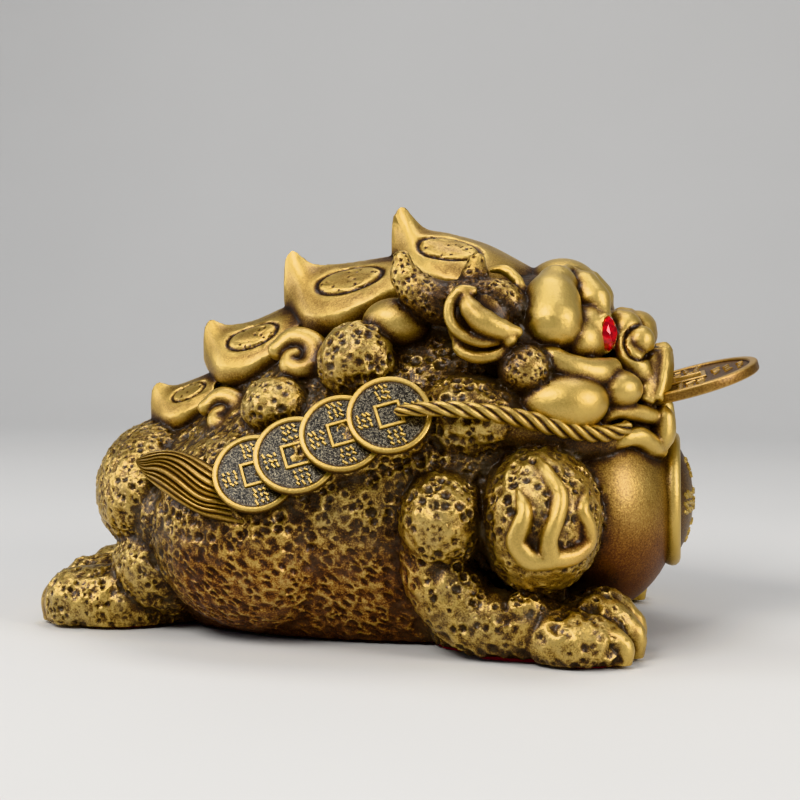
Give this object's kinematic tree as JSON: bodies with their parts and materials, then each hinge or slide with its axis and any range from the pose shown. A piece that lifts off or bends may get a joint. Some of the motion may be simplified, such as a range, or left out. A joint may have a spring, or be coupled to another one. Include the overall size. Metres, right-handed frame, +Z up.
{
  "type": "money toad figure",
  "caption": "Cast brass three-legged money toad for a desk or counter, with strings of coins on its flanks, a crest of scrolls, red glass eyes and a loose coin in its mouth.",
  "frame": {"origin": "on the ground under the middle of the figure, coin included", "axes": "+X the way the toad faces, +Z up, Y 0 its plane of symmetry"},
  "size_m": [0.2076, 0.1244, 0.1214],
  "materials": {
    "antique_brass": "satin cast brass, yellow on raised places, dark brown patina in pits and creases",
    "coin_brass": "satin, a little redder than the casting, dark in the ground",
    "red_glass": "polished and faceted",
    "red_felt": "short pile"
  },
  "bodies": {
    "root": {"toad_casting": "antique_brass", "mouth_coin": "coin_brass", "eye_stone_left": "red_glass", "eye_stone_right": "red_glass", "felt_pad": "red_felt"}
  },
  "joints": []
}
